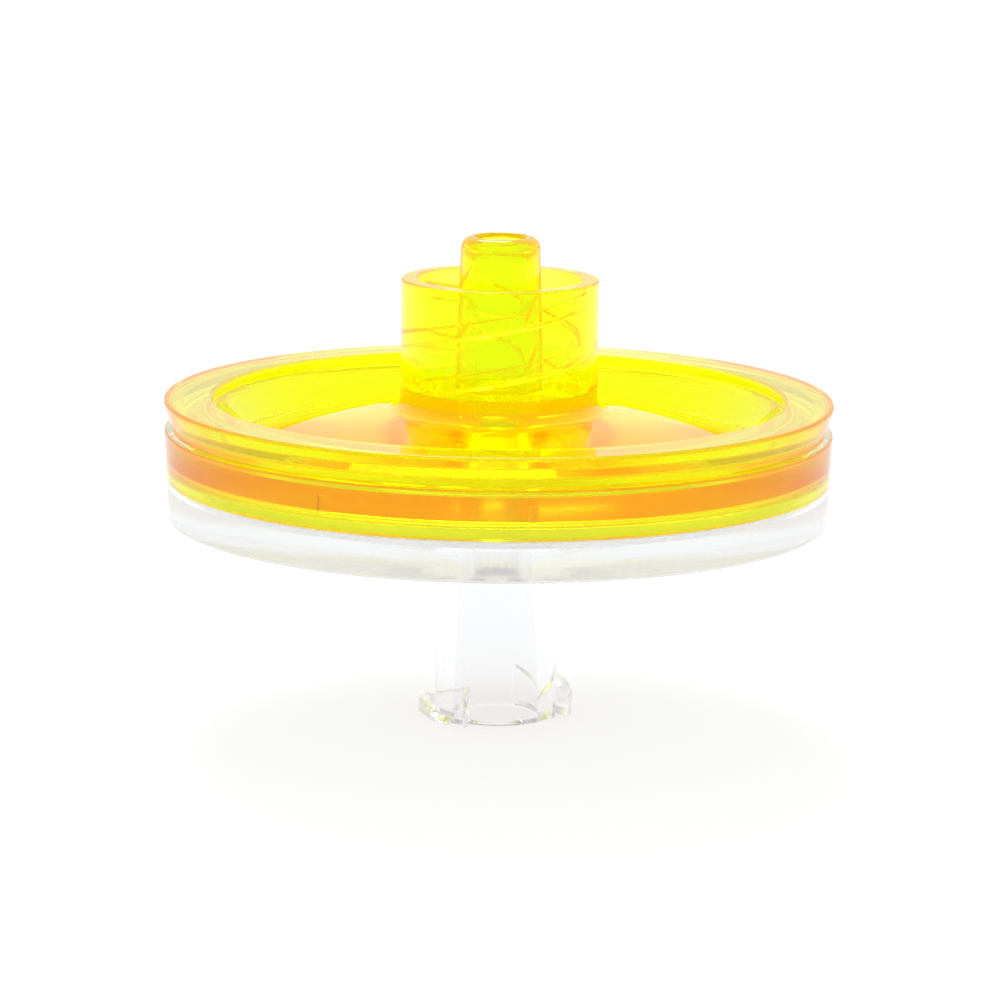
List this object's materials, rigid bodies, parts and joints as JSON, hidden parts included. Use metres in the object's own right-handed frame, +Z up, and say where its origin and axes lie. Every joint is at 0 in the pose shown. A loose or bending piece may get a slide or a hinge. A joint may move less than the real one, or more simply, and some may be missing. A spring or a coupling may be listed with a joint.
{
  "type": "syringe filter",
  "caption": "Round flat in-line syringe filter: tinted clear upper housing with a male Luer lock, clear lower housing with a female Luer port, and a membrane clamped between.",
  "frame": {"origin": "on the axis, at the end face of the female Luer port that the filter stands on", "axes": "+Z up along the flow axis, from the female port to the male Luer tip; +X and +Y across the disc"},
  "size_m": [0.0336, 0.0336, 0.0244],
  "materials": {
    "clear_plastic": "clear moulded plastic, polished",
    "filter_membrane": "white microporous membrane, matt",
    "yellow_plastic": "transparent yellow tinted plastic, polished"
  },
  "bodies": {
    "root": {"lower_housing": "clear_plastic", "membrane": "filter_membrane", "upper_housing": "yellow_plastic"}
  },
  "joints": []
}
